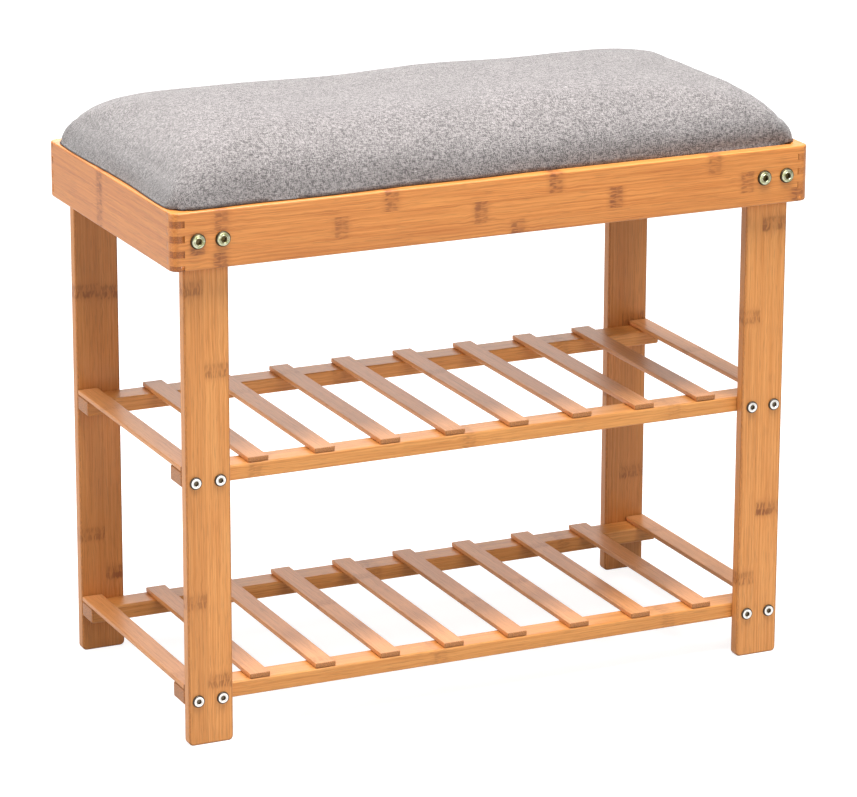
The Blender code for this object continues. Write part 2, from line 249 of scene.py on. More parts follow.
scene = bpy.context.scene
scene.view_settings.view_transform = "Standard"
scene.view_settings.look = "None"
print("lights:", [light.name for light in bpy.data.lights])

# %% [markdown]
# ## Mesh helpers
# Every finished piece keeps its place in its mesh, with its object at the origin. Modifiers are turned
# into plain mesh as soon as they have done their work.

# %% Mesh helpers
MERGE = 1e-6  # points closer than this are one point
SHARP = math.radians(40)  # edges that turn more than this are rounded


def piece_of(name, mesh, finish=None):
    piece = bpy.data.objects.new(name, mesh)
    bpy.context.scene.collection.objects.link(piece)
    if finish:
        mesh.materials.clear()
        mesh.materials.append(finish.material)
    return piece


def mesh_of(name, bm):
    mesh = bpy.data.meshes.new(name)
    bm.to_mesh(mesh)
    bm.free()
    return mesh


def settle(piece):
    """Turns what a piece's modifiers make into its mesh."""
    bpy.context.view_layer.update()
    graph = bpy.context.evaluated_depsgraph_get()
    mesh = bpy.data.meshes.new_from_object(piece.evaluated_get(graph))
    piece.modifiers.clear()
    piece.data = mesh
    return piece


def even_shading(piece):
    """Keeps flat faces flat and lets only the rounded edges shade smoothly."""
    piece.data.shade_smooth()
    weighted = piece.modifiers.new("weighted", "WEIGHTED_NORMAL")
    weighted.mode = "FACE_AREA"
    return settle(piece)


def corners(mesh):
    places = [vertex.co for vertex in mesh.vertices]
    low = Vector([min(place[axis] for place in places) for axis in range(3)])
    high = Vector([max(place[axis] for place in places) for axis in range(3)])
    return low, high


# %% [markdown]
# ## Bamboo
# Bamboo boards are glued from strips. Each strip is a split of the culm, so every 15 to 30 cm it
# crosses a node, where the fibres knot into a short dark band. A picture texture could show this, but
# it would repeat. Here the mesh stores which way the fibres run, and, for each strip, where its nodes
# lie and how dark it is. The material draws fibres and bands from those numbers alone.

# %% Strips of bamboo
class Strip:
    """One glued strip: its share of the board's width, a node's place, their spacing, its shade."""

    def __init__(self, share, node, spacing, shade):
        self.share = share
        self.node = node
        self.spacing = spacing
        self.shade = shade


def cut_strips(bm, low, high, across, strips):
    """Cuts a board's surface where its strips meet, and returns the heights of the cuts."""
    cuts = []
    reached = 0
    for strip in strips[:-1]:
        reached += strip.share
        level = low[across] + reached * (high[across] - low[across])
        point, normal = Vector(), Vector()
        point[across], normal[across] = level, 1
        everything = bm.verts[:] + bm.edges[:] + bm.faces[:]
        bmesh.ops.bisect_plane(bm, geom=everything, plane_co=point, plane_no=normal, dist=MERGE)
        cuts.append(level)
    return cuts


END_BEGINS = 0.10  # end grain shows where a face leans this much along the fibres
END_FADES = 0.25
FLAT = 0.97  # a face that looks this squarely along an axis isn't rounded


def store_grain(mesh, along, across, strips, cuts, cut_end=1.0, painted_edge_shade=0.0):
    """Stores the fibre's coordinates on the points, and each strip's numbers on its faces.

    cut_end is how dark the sawn ends are, where lacquer soaks in. The second amount is painted shade on
    the rounded edges, for the darker reflection along them.
    """
    low, high = corners(mesh)
    middle = (low + high) / 2
    through = 3 - along - across
    grain = mesh.attributes.new("grain", "FLOAT_VECTOR", "POINT")
    for vertex in mesh.vertices:
        place, off = vertex.co, vertex.co - middle
        grain.data[vertex.index].vector = (place[along], off[across], off[through])
    numbers = mesh.attributes.new("strip", "FLOAT_VECTOR", "FACE")
    for face in mesh.polygons:
        strip = strips[sum(face.center[across] > level for level in cuts)]
        numbers.data[face.index].vector = (strip.node, strip.spacing, strip.shade)
    end_grain_and_edge_shade = mesh.attributes.new("end_grain_and_edge_shade", "FLOAT", "FACE")
    for face in mesh.polygons:
        steep = (abs(face.normal[along]) - END_BEGINS) / END_FADES
        # painted shade: a face on a rounded edge takes this share of the cut-end colour
        rounded = painted_edge_shade if max(abs(part) for part in face.normal) < FLAT else 0.0
        end_grain_and_edge_shade.data[face.index].value = max(rounded, cut_end * max(0.0, min(1.0, steep)))


# %% [markdown]
# The colour is built up as a finisher would see it: the strip's own shade, long pale and dark
# streaks, short dark fibre bundles, then the node bands with their brush-like strokes. Around a node
# the fibres swerve, so their coordinate is pushed sideways there. Lacquer is the shader's coat.

# %% Bamboo material
def bamboo(name, pale, deep, band, gloss=0.25, knots=1.0):
    """pale and deep are the wood's two colours, band a node's; knots is how strongly the nodes show."""
    wood = Finish(name)
    along, across, through = wood.split(wood.stored("grain"))
    node, spacing, shade = wood.split(wood.stored("strip"))
    own = wood.product(shade, 23.0)  # each strip reads its own part of the noise

    turns = wood.math("DIVIDE", wood.minus(along, node), spacing)
    past = wood.product(wood.minus(turns, wood.math("ROUND", turns)), spacing)
    jitter = wood.noise(wood.scaled((across, own, along), (300, 1, 9)))
    past = wood.sum(past, wood.product(wood.minus(jitter, 0.5), 0.004))
    distance = wood.math("ABSOLUTE", past)
    near = wood.fade(distance, 0.034, 0.003)

    drift = wood.noise(wood.scaled((along, across, own), (4, 20, 1)))
    swerve = wood.noise(wood.scaled((along, across, own), (80, 110, 1)), detail=1.0)
    fibre = wood.sum(
        across,
        wood.product(wood.minus(drift, 0.5), 0.0012),
        wood.product(wood.minus(swerve, 0.5), 0.0034, wood.sum(near, 0.25)),
    )

    inward = wood.sum(wood.product(through, 420), own)
    streak_place = wood.scaled((along, fibre, inward), (9, 640, 1.5))
    streak = wood.noise(streak_place, detail=4.0, roughness=0.62)
    bundle = wood.noise(wood.scaled((along, fibre, inward), (60, 1300, 3.1)), detail=1.5)
    cloud = wood.noise(wood.scaled((along, across, own), (11, 45, 1)), detail=3.0)

    # A low strip shade also deepens the colour; the back legs' strips use that as painted shade.
    paleness = wood.product(wood.fade(streak, 0.22, 0.72), wood.sum(0.55, wood.product(shade, 0.85)))
    colour = wood.blend(paleness, deep, pale)
    colour = wood.shade(colour, wood.sum(0.83, wood.product(shade, 0.18), wood.product(cloud, 0.16)))
    dashes = wood.fade(bundle, 0.53, 0.68)
    colour = wood.shade(colour, wood.minus(1.0, wood.product(dashes, 0.17)))

    mottle = wood.sum(0.05, wood.product(cloud, 0.65))
    tint = wood.product(wood.fade(distance, 0.012, 0.003), mottle, knots)
    colour = wood.blend(tint, colour, tuple(0.72 * part for part in deep))
    first_row = wood.fade(wood.math("ABSOLUTE", wood.sum(past, 0.0028)), 0.0046, 0.0018)
    second_row = wood.fade(wood.math("ABSOLUTE", wood.sum(past, -0.0030)), 0.0044, 0.0014)
    rows = wood.math("MAXIMUM", first_row, wood.product(second_row, 0.7))
    stroke_depth = wood.sum(wood.product(through, 620), own)
    stroke_place = wood.scaled((along, fibre, stroke_depth), (120, 620, 1))
    strokes = wood.fade(wood.noise(stroke_place, detail=1.5), 0.41, 0.58)
    burn = wood.product(rows, strokes, knots, wood.sum(-0.05, wood.product(cloud, 1.25)))
    colour = wood.blend(burn, colour, band)

    pores = wood.noise(wood.scaled((along, across, through), (300, 1100, 1100)))
    # The cut-end colour darkens the sawn ends, where lacquer soaks in, and, as painted shade, the rounded
    # edges.
    soaked, dry = (tuple(share * part for part in deep) for share in (0.50, 0.85))
    cut_end = wood.blend(wood.fade(pores, 0.40, 0.62), soaked, dry)
    colour = wood.blend(wood.stored("end_grain_and_edge_shade", "Fac"), colour, cut_end)

    rough = wood.sum(0.40, wood.product(streak, 0.12), wood.product(burn, 0.15))
    relief = wood.sum(wood.product(streak, 0.5), wood.product(dashes, -0.6), wood.product(burn, -0.8))
    wood.surface(
        Base_Color=colour, Roughness=rough, Specular_IOR_Level=0.35, Coat_Weight=gloss,
        Coat_Roughness=0.28, Normal=wood.relief(relief, 0.00012, 0.5),
    )
    return wood


BURNT = (0.19, 0.048, 0.010)
TOASTED = (0.36, 0.13, 0.045)
TRAY_BAMBOO = bamboo(
    "bamboo_tray_lacquered", (0.73, 0.290, 0.066), (0.51, 0.150, 0.022), BURNT, gloss=0.45)
LEG_BAMBOO = bamboo(
    "bamboo_leg_lacquered", (0.77, 0.345, 0.104), (0.58, 0.205, 0.040), BURNT, knots=0.9)
RAIL_BAMBOO = bamboo(
    "bamboo_rail_lacquered", (0.76, 0.345, 0.095), (0.57, 0.205, 0.040), BURNT, knots=0.4)
SLAT_BAMBOO = bamboo(
    "bamboo_slat_lacquered", (0.74, 0.34, 0.130), (0.60, 0.24, 0.070), TOASTED, gloss=0.2, knots=0.5)
print("bamboo finishes:", TRAY_BAMBOO.material.name, LEG_BAMBOO.material.name)

# %% [markdown]
# ## The tray's boards
# The long and the short boards meet in finger joints, and the whole tray is sanded round after
# gluing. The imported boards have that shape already, so each visible board starts as a copy of its
# packed one. The copy's loose triangles are merged and its flat faces joined, which gives the shading
# clean faces to work with, and the strips are cut into it.

# %% Strips of the tray's boards
FRONT_STRIPS = [
    Strip(0.26, 0.016, 0.273, 0.45),
    Strip(0.38, -0.148, 0.129, 0.55),
    Strip(0.36, -0.102, 0.154, 0.60),
]
BACK_STRIPS = [
    Strip(0.35, 0.105, 0.240, 0.62),
    Strip(0.38, -0.060, 0.190, 0.38),
    Strip(0.27, 0.020, 0.225, 0.57),
]
LEFT_STRIPS = [Strip(1.0, 0.021, 0.330, 0.35)]
RIGHT_STRIPS = [Strip(0.45, -0.050, 0.280, 0.52), Strip(0.55, 0.060, 0.300, 0.40)]

# %% Finger joints
PLAY = 0.0002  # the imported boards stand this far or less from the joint's own planes
GLUE_LINE = 0.00003
WALL = 0.0115
FINGER_PITCH = 0.0127
FINGERS = 4
LONG_FINGER = 0.0069
CORNER_RADIUS = 0.0080
CORNER_SLACK = 0.0009  # a facet of the corner lies this far or less inside its arc


def joint_planes():
    """The planes in which the fingers meet, as (axis, position)."""
    for i in range(FINGERS):
        yield Z, RIM - i * FINGER_PITCH
        yield Z, RIM - i * FINGER_PITCH - LONG_FINGER
    for way in (-1, 1):
        yield X, way * (TRAY_HIGH.x - WALL)
        yield Y, way * (abs(TRAY_LOW.y) - WALL)


def close_joints(bm):
    """Closes the play between the fingers, down to a glue line."""
    for vertex in bm.verts:
        for axis, plane in joint_planes():
            off = vertex.co[axis] - plane
            if 1e-5 < abs(off) < PLAY:
                vertex.co[axis] = plane + math.copysign(GLUE_LINE, off)


def round_the_corners(mesh):
    """Lets the tray's outer corners shade as true arcs, through every finger."""
    half = Vector((TRAY_HIGH.x, -TRAY_LOW.y))
    core = half - Vector((CORNER_RADIUS, CORNER_RADIUS))
    normals = [Vector(item.vector) for item in mesh.corner_normals]
    for face in mesh.polygons:
        past = Vector((abs(face.center.x), abs(face.center.y))) - core
        outer = past.x > 0 and past.y > 0 and past.length > CORNER_RADIUS - CORNER_SLACK
        if not outer or abs(face.normal.z) > 0.2:
            continue
        for loop in face.loop_indices:
            place = mesh.vertices[mesh.loops[loop].vertex_index].co
            way = Vector((max(0, abs(place.x) - core.x), max(0, abs(place.y) - core.y)))
            if way.length > 0.5 * CORNER_RADIUS:
                way.normalize()
                normals[loop] = Vector((math.copysign(way.x, place.x), math.copysign(way.y, place.y), 0))
    mesh.normals_split_custom_set(normals)


# %% Tray boards in their finish
def tray_board(side, along, strips, cut_end):
    node = f"tray_{side}_board"
    low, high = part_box(node)
    bm = bmesh.new()
    bm.from_mesh(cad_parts[node].data)
    bmesh.ops.remove_doubles(bm, verts=bm.verts, dist=MERGE)
    close_joints(bm)
    bmesh.ops.dissolve_limit(bm, angle_limit=math.radians(0.5), verts=bm.verts, edges=bm.edges)
    cuts = cut_strips(bm, low, high, Z, strips)
    board = piece_of(f"tray_{side}", mesh_of(f"tray_{side}", bm), TRAY_BAMBOO)
    board.data.shade_smooth()
    board.data.set_sharp_from_angle(angle=math.radians(50))
    weighted = board.modifiers.new("weighted", "WEIGHTED_NORMAL")
    weighted.keep_sharp = True
    settle(board)
    round_the_corners(board.data)
    store_grain(board.data, along, Z, strips, cuts, cut_end)
    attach(board, "bench_frame")
    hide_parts(node)
    return board


tray_board("front", X, FRONT_STRIPS, 0.15)
tray_board("back", X, BACK_STRIPS, 0.15)
tray_board("left", Y, LEFT_STRIPS, 1.0)
tray_board("right", Y, RIGHT_STRIPS, 0.4)
print("tray boards made")

# %% [markdown]
# ## Legs, rails and batten
# These are straight boards with softly rounded edges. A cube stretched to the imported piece's box and
# bevelled in three steps gives that. The legs' feet get a larger radius first. Where a bolt passes
# through, the board is drilled, as it is in the workshop.

# %% Bolt holes
EDGE_ROUNDING = 0.0016
FOOT_ROUNDING = 0.0042
BOLT_HOLE = 0.0033
HOLE_SPARE = 0.0004  # a hole is this much deeper than its bolt
HOLE_SIDES = 20


def bolts_in(low, high):
    """The boxes of the bolts whose shanks reach into a board."""
    for node in sorted(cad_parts):
        bolt_low, bolt_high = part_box(node)
        middle = (bolt_low + bolt_high) / 2
        beside = all(low[axis] < middle[axis] < high[axis] for axis in (X, Z))
        reaches = bolt_low.y < high.y and bolt_high.y > low.y
        if "_bolt_" in node and beside and reaches:
            yield bolt_low, bolt_high


def carve(piece, tool):
    """Cuts the tool's shape out of a piece and puts the tool away."""
    cut = piece.modifiers.new("cut", "BOOLEAN")
    cut.operation = "DIFFERENCE"
    cut.solver = "EXACT"
    cut.object = tool
    settle(piece)
    bpy.data.objects.remove(tool)
    return piece


def drill(board, low, high):
    bm = bmesh.new()
    for bolt_low, bolt_high in bolts_in(low, high):
        place = Matrix.Translation((bolt_low + bolt_high) / 2) @ Matrix.Rotation(math.pi / 2, 4, "X")
        depth = bolt_high.y - bolt_low.y + 2 * HOLE_SPARE
        bmesh.ops.create_cone(
            bm, cap_ends=True, segments=HOLE_SIDES, radius1=BOLT_HOLE, radius2=BOLT_HOLE,
            depth=depth, matrix=place)
    if not bm.verts:
        return board
    bits = piece_of("drill_bits", mesh_of("drill_bits", bm))
    return carve(board, bits)


# %% A rounded, drilled board
def filled_box(low, high):
    bm = bmesh.new()
    place = Matrix.Translation((low + high) / 2) @ Matrix.Diagonal((*(high - low), 1))
    bmesh.ops.create_cube(bm, size=1, matrix=place)
    return bm


def foot_edges(bm, floor_height):
    """The two edges under a leg that run from front to back."""
    for edge in bm.edges:
        first, second = (vertex.co for vertex in edge.verts)
        if max(first.z, second.z) < floor_height + 1e-5 and abs(first.y - second.y) > 1e-4:
            yield edge


def rounded_board(name, node, along, across, strips, finish, foot=False, painted_edge_shade=0.0):
    low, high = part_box(node)
    bm = filled_box(low, high)
    if foot:
        toes = list(foot_edges(bm, low.z))
        bmesh.ops.bevel(bm, geom=toes, offset=FOOT_ROUNDING, segments=5, profile=0.5, affect="EDGES")
    rims = [edge for edge in bm.edges if edge.calc_face_angle() > SHARP]
    bmesh.ops.bevel(bm, geom=rims, offset=EDGE_ROUNDING, segments=3, profile=0.5, affect="EDGES")
    cuts = cut_strips(bm, low, high, across, strips)
    board = piece_of(name, mesh_of(name, bm), finish)
    drill(board, low, high)
    even_shading(board)
    store_grain(board.data, along, across, strips, cuts, painted_edge_shade=painted_edge_shade)
    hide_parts(node)
    return board


# %% Legs
LEG_STRIPS = {
    "front_left": [Strip(0.44, 0.404, 0.275, 0.30), Strip(0.56, 0.331, 0.275, 0.62)],
    "front_right": [Strip(0.40, 0.318, 0.244, 0.50), Strip(0.60, 0.402, 0.264, 0.56)],
    # The back legs' strips have the lowest shades: painted shade, for the shadow that the tray casts on
    # them.
    "back_left": [Strip(0.58, 0.337, 0.227, 0.08), Strip(0.42, 0.334, 0.263, 0.22)],
    "back_right": [Strip(0.36, 0.180, 0.310, 0.22), Strip(0.64, 0.248, 0.151, 0.05)],
}

# The legs' rounded edges take 0.6 of the cut-end colour: painted shade for the darker reflection along
# them.
for corner, strips in LEG_STRIPS.items():
    leg = rounded_board(f"{corner}_leg", f"leg_{corner}", Z, X, strips, LEG_BAMBOO, foot=True, painted_edge_shade=0.6)
    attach(leg, "bench_frame")
print("legs made:", len(LEG_STRIPS))

# %% Rails and batten
chance = random.Random(7)
for shelf in ("upper", "lower"):
    for face in ("front", "back"):
        node_place, spacing = chance.uniform(-0.05, 0.05), chance.uniform(0.19, 0.26)
        strips = [Strip(1.0, node_place, spacing, chance.uniform(0.45, 0.65))]
        packed = f"{shelf}_shelf_{face}_rail"
        rail = rounded_board(f"{shelf}_{face}_rail", packed, X, Z, strips, RAIL_BAMBOO)
        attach(rail, "bench_frame")

batten_strips = [Strip(0.5, 0.03, 0.21, 0.35), Strip(0.5, -0.06, 0.25, 0.6)]
batten = rounded_board("pad_batten", "seat_batten", Y, X, batten_strips, RAIL_BAMBOO)
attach(batten, "bench_frame")
print("rails and batten made")

# %% [markdown]
# ## Slats
# Ten equal slats lie across each shelf. One slat is modelled, and a Geometry Nodes tree sets copies of
# it along a line. The tree gives every copy its own random strip numbers, so no two slats show the
# same grain. Inputs are set by their identifiers before the tree first runs.

# %% Geometry Nodes helpers
def growing_tree(name, sockets):
    """A Geometry Nodes tree with a geometry input and output, and the named inputs."""
    tree = bpy.data.node_groups.new(name, "GeometryNodeTree")
    tree.interface.new_socket("Geometry", in_out="OUTPUT", socket_type="NodeSocketGeometry")
    tree.interface.new_socket("Geometry", in_out="INPUT", socket_type="NodeSocketGeometry")
    for label, kind in sockets.items():
        tree.interface.new_socket(label, in_out="INPUT", socket_type=f"NodeSocket{kind}")
    return Tree(tree)


def place_copies(grow, points, shape, rotation):
    """Sets a copy of a shape on every point."""
    inputs = {"Points": points, "Instance": shape, "Rotation": rotation}
    return grow.out("GeometryNodeInstanceOnPoints", inputs)


def turn_each(grow, copies, least, most, seed):
    """Turns every copy about its own Z axis by a random angle."""
    limits = {2: least, 3: most, "Seed": seed}
    angle = grow.add("FunctionNodeRandomValue", limits, data_type="FLOAT").outputs[1]
    turn = grow.out("ShaderNodeCombineXYZ", {2: angle})
    inputs = {"Instances": copies, "Rotation": turn, "Local Space": True}
    return grow.out("GeometryNodeRotateInstances", inputs)


def finish_tree(grow, geometry, material):
    """Ends a tree: real geometry, with its material."""
    real = grow.out("GeometryNodeRealizeInstances", {"Geometry": geometry})
    painted = grow.out("GeometryNodeSetMaterial", {"Geometry": real, "Material": material})
    grow.add("NodeGroupOutput", {"Geometry": painted})


def grow_piece(name, grow, mesh, values):
    """Runs a tree on a mesh with the given inputs, and returns the result as a plain piece."""
    piece = piece_of(name, mesh)
    modifier = piece.modifiers.new("grow", "NODES")
    modifier.node_group = grow.tree
    for item in grow.tree.interface.items_tree:
        if item.in_out == "INPUT" and item.name in values:
            modifier[item.identifier] = values[item.name]
    return settle(piece)


# %% A row of slats
LEAST_STRIP = (-0.14, 0.24, 0.25)  # a slat's node place, spacing and shade lie between these two
MOST_STRIP = (0.14, 0.42, 0.72)


def slat_tree():
    sockets = {"Slat": "Object", "Count": "Int", "First": "Vector", "Step": "Vector"}
    grow = growing_tree("slat_row", {**sockets, "Seed": "Int", "Material": "Material"})
    given = grow.add("NodeGroupInput").outputs
    places = {"Count": given["Count"], "Start Location": given["First"], "Offset": given["Step"]}
    line = grow.out("GeometryNodeMeshLine", places)
    slat = grow.add("GeometryNodeObjectInfo", {"Object": given["Slat"]}).outputs["Geometry"]
    row = grow.out("GeometryNodeInstanceOnPoints", {"Points": line, "Instance": slat})
    limits = {0: LEAST_STRIP, 1: MOST_STRIP, "Seed": given["Seed"]}
    numbers = grow.out("FunctionNodeRandomValue", limits, data_type="FLOAT_VECTOR")
    store = grow.add(
        "GeometryNodeStoreNamedAttribute", {"Geometry": row, "Name": "strip"},
        data_type="FLOAT_VECTOR", domain="INSTANCE")
    value = next(socket for socket in store.inputs if socket.name == "Value" and socket.enabled)
    grow.tree.links.new(numbers, value)
    finish_tree(grow, store.outputs[0], given["Material"])
    return grow


# %% Slats
SLAT_ROUNDING = 0.0008
slat_low, slat_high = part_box("upper_shelf_slat_01")
slat_size = slat_high - slat_low
bm = bmesh.new()
bmesh.ops.create_cube(bm, size=1, matrix=Matrix.Diagonal((*slat_size, 1)))
bmesh.ops.bevel(bm, geom=bm.edges[:], offset=SLAT_ROUNDING, segments=2, profile=0.5, affect="EDGES")
one_slat = even_shading(piece_of("one_slat", mesh_of("one_slat", bm)))
store_grain(one_slat.data, Y, X, [Strip(1, 0, 1, 0.5)], [])
one_slat.data.attributes.remove(one_slat.data.attributes["strip"])

SLATS = slat_tree()
for number, shelf in enumerate(("upper", "lower")):
    nodes = [f"{shelf}_shelf_slat_{i:02d}" for i in range(1, 11)]
    middles = [sum(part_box(node), Vector()) / 2 for node in nodes]
    values = {
        "Slat": one_slat, "Count": len(nodes), "First": middles[0], "Step": middles[1] - middles[0],
        "Seed": 4 + number, "Material": SLAT_BAMBOO.material,
    }
    slats = grow_piece(f"{shelf}_slats", SLATS, bpy.data.meshes.new(f"{shelf}_slats"), values)
    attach(slats, "bench_frame")
    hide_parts(*nodes)
    print(slats.name, len(slats.data.polygons), "faces")
bpy.data.objects.remove(one_slat)

# %% [markdown]
# ## Bolts and screws
# Furniture bolts are turned, plated with zinc and driven with a hexagon key. The head's half section
# is spun round its axis, and the socket is cut out of it. The larger heads are domed, with a raised
# ring round the socket, and the smaller ones have a broad flat rim. A second Geometry Nodes tree sets
# each kind on its holes, facing outwards, with every hexagon turned differently.

# %% Zinc plate
def zinc(name, bright, dull, outline):
    """outline is where, as a share of the radius, the head's edge turns dark: painted shade of its seat."""
    plate = Finish(name)
    radius = plate.stored("radius", "Fac")
    place = plate.add("ShaderNodeTexCoord").outputs["Object"]
    x, y, z = plate.split(place)
    patches = plate.noise(plate.scaled((x, y, z), (320, 320, 320)))
    scratches = plate.noise(plate.scaled((x, y, z), (4200, 900, 700)), detail=3.0)
    colour = plate.blend(plate.fade(patches, 0.35, 0.65), bright, dull)
    # painted shade: a dark ring at 0.58 of the radius, where each head's face steps down
    groove_shade = plate.fade(plate.math("ABSOLUTE", plate.minus(radius, 0.58)), 0.05, 0.01)
    colour = plate.shade(colour, plate.minus(1.0, plate.product(groove_shade, 0.45)))
    # painted shade: the head's outer edge is painted dark, for the shadow of its seat and a dark reflection
    # along it
    rim = plate.fade(radius, outline - 0.02, outline + 0.03)
    # painted shade: the hex socket is painted dark inside, for the shade in its recess
    socket = plate.fade(radius, 0.46, 0.41)
    colour = plate.blend(plate.product(rim, 0.95), colour, (0.045, 0.028, 0.014))
    colour = plate.blend(plate.product(socket, 0.93), colour, (0.060, 0.038, 0.010))
    rough = plate.sum(0.16, plate.product(scratches, 0.22), plate.product(rim, 0.25))
    relief = plate.relief(scratches, 0.00002, 0.4)
    plate.surface(Base_Color=colour, Metallic=1.0, Roughness=rough, Normal=relief)
    return plate


ZINC = zinc("zinc_plate_yellow", (0.56, 0.57, 0.42), (0.33, 0.34, 0.17), 0.84)
ZINC_BRIGHT = zinc("zinc_plate_bright", (0.90, 0.89, 0.87), (0.74, 0.72, 0.68), 0.80)

# %% Turned heads
BOLT_SHANK = 0.0030
SHANK_BEVEL = 0.0004
UNDER_BEVEL = 0.0002
HEX_RADIUS = 0.00231


def turned(name, section, steps=28):
    """Spins a half section of (radius, height) points round the Z axis."""
    bm = bmesh.new()
    points = [bm.verts.new((radius, 0, height)) for radius, height in section]
    edges = [bm.edges.new(pair) for pair in zip(points, points[1:])]
    bmesh.ops.spin(bm, geom=points + edges, axis=(0, 0, 1), cent=(0, 0, 0), steps=steps, angle=2 * math.pi)
    bmesh.ops.remove_doubles(bm, verts=bm.verts, dist=MERGE)
    bmesh.ops.recalc_face_normals(bm, faces=bm.faces)
    return piece_of(name, mesh_of(name, bm))


def cut_socket(head, top, depth, radius, sides=6):
    """Cuts a slightly tapered socket, as a punch leaves it."""
    bm = bmesh.new()
    bmesh.ops.create_cone(
        bm, cap_ends=True, segments=sides, radius1=0.9 * radius, radius2=radius,
        depth=2 * depth, matrix=Matrix.Translation((0, 0, top)))
    key = piece_of("key", mesh_of("key", bm))
    return carve(head, key)


def store_radius(head, rim):
    """Stores how far each point lies from the axis, as a share of the head's radius."""
    head.data.shade_smooth()
    head.data.set_sharp_from_angle(angle=math.radians(28))
    share = head.data.attributes.new("radius", "FLOAT", "POINT")
    for vertex in head.data.vertices:
        share.data[vertex.index].value = vertex.co.xy.length / rim
    return head


def dome(rim, height, flat, start, steps=6):
    """Points of a dome from a flat top at radius flat down to the rim at height start."""
    for i in range(steps + 1):
        angle = math.pi / 2 * i / steps
        yield flat + (rim - flat) * math.sin(angle), start + (height - start) * math.cos(angle)


def shank(rim, length):
    """Points from under a bolt's head down to the end of its shank."""
    end = BOLT_SHANK - SHANK_BEVEL
    return [
        (rim, UNDER_BEVEL), (rim - UNDER_BEVEL, 0), (BOLT_SHANK, 0),
        (BOLT_SHANK, -length + SHANK_BEVEL), (end, -length), (0, -length),
    ]


# %% The three kinds of head
def tray_bolt():
    rim, height, ring = 0.0067, 0.0032, 0.0003
    section = [(0, height - ring), (0.0029, height - ring), (0.0031, height), (0.0036, height)]
    section += [(0.0038, height - 0.00035)]
    section += dome(rim, height - 0.0004, 0.0040, 0.0007)
    section += shank(rim, 0.0190)
    return store_radius(cut_socket(turned("tray_bolt", section), height, 0.0021, HEX_RADIUS), rim)


def shelf_bolt():
    rim, height, dip = 0.0054, 0.0019, 0.0002
    section = [(0, height - dip), (0.0026, height - dip), (0.0028, height), (0.0043, height)]
    section += dome(rim, height - 0.0001, 0.0046, 0.0008, 4)
    section += shank(rim, 0.0300)
    return store_radius(cut_socket(turned("shelf_bolt", section), height, 0.0015, HEX_RADIUS), rim)


def slat_screw():
    rim, height, core = 0.0029, 0.0015, 0.0013
    section = [(0, height)]
    section += dome(rim, height, 0.0008, 0.0004, 4)
    section += [(rim, 0), (core, 0), (core, -0.0135), (0, -0.0150)]
    return store_radius(cut_socket(turned("slat_screw", section, 16), height, 0.0010, 0.0013, 4), rim)


# %% Fasteners on their points
def fastener_tree():
    sockets = {"Fastener": "Object", "Seed": "Int", "Material": "Material"}
    grow = growing_tree("fasteners_on_points", sockets)
    given = grow.add("NodeGroupInput").outputs
    facing = grow.out("GeometryNodeInputNamedAttribute", {"Name": "facing"}, data_type="FLOAT_VECTOR")
    outward = grow.out("FunctionNodeAlignRotationToVector", {"Vector": facing}, axis="Z")
    shape = grow.add("GeometryNodeObjectInfo", {"Object": given["Fastener"]}).outputs["Geometry"]
    points = grow.out("GeometryNodeMeshToPoints", {"Mesh": given["Geometry"]})
    placed = place_copies(grow, points, shape, outward)
    finish_tree(grow, turn_each(grow, placed, 0.0, math.tau, given["Seed"]), given["Material"])
    return grow


FASTENERS = fastener_tree()


def set_fasteners(name, fastener, places, finish, seed):
    """One piece of many fasteners. Each place is a point and the way the head faces."""
    mesh = bpy.data.meshes.new(name)
    mesh.from_pydata([place for place, _ in places], [], [])
    facing = mesh.attributes.new("facing", "FLOAT_VECTOR", "POINT")
    for index, (_, way) in enumerate(places):
        facing.data[index].vector = way
    values = {"Fastener": fastener, "Seed": seed, "Material": finish.material}
    piece = grow_piece(name, FASTENERS, mesh, values)
    bpy.data.objects.remove(fastener)
    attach(piece, "bench_frame")
    print(name, len(places), "heads,", len(piece.data.polygons), "faces")
    return piece


HEAD_GAP = 0.0002  # a head stands this far off the wood


def bolt_places(kind, board):
    """Where each bolt's head meets the board's outer face."""
    nodes = sorted(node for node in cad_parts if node.startswith(kind))
    outer = abs(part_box(board)[0].y) + HEAD_GAP
    for node in nodes:
        middle = sum(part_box(node), Vector()) / 2
        way = 1 if middle.y > 0 else -1
        yield node, (Vector((middle.x, way * outer, middle.z)), Vector((0, way, 0)))


# %% Bolts
tray_places = dict(bolt_places("tray_bolt", "tray_front_board"))
tray_bolts = set_fasteners("tray_bolts", tray_bolt(), list(tray_places.values()), ZINC, 3)
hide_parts(*tray_places)

for number, shelf in enumerate(("upper", "lower")):
    places = dict(bolt_places(f"{shelf}_bolt", "leg_front_left"))
    heads = list(places.values())
    bolts = set_fasteners(f"{shelf}_shelf_bolts", shelf_bolt(), heads, ZINC_BRIGHT, 5 + number)
    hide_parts(*places)

# %% Screws that hold the slats
END_SHIFT = 0.006  # the end slats' screws stand clear of the bolts


def screw_places(shelf):
    """Where each screw's head meets the underside of a rail."""
    for face in ("front", "back"):
        rail_low, rail_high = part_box(f"{shelf}_shelf_{face}_rail")
        for i in range(1, 11):
            low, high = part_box(f"{shelf}_shelf_slat_{i:02d}")
            x = (low.x + high.x) / 2
            if i in (1, 10):
                x -= math.copysign(END_SHIFT, x)
            y = (rail_low.y + rail_high.y) / 2
            yield Vector((x, y, rail_low.z - HEAD_GAP)), Vector((0, 0, -1))


for number, shelf in enumerate(("upper", "lower")):
    places = list(screw_places(shelf))
    screws = set_fasteners(f"{shelf}_slat_screws", slat_screw(), places, ZINC, 11 + number)

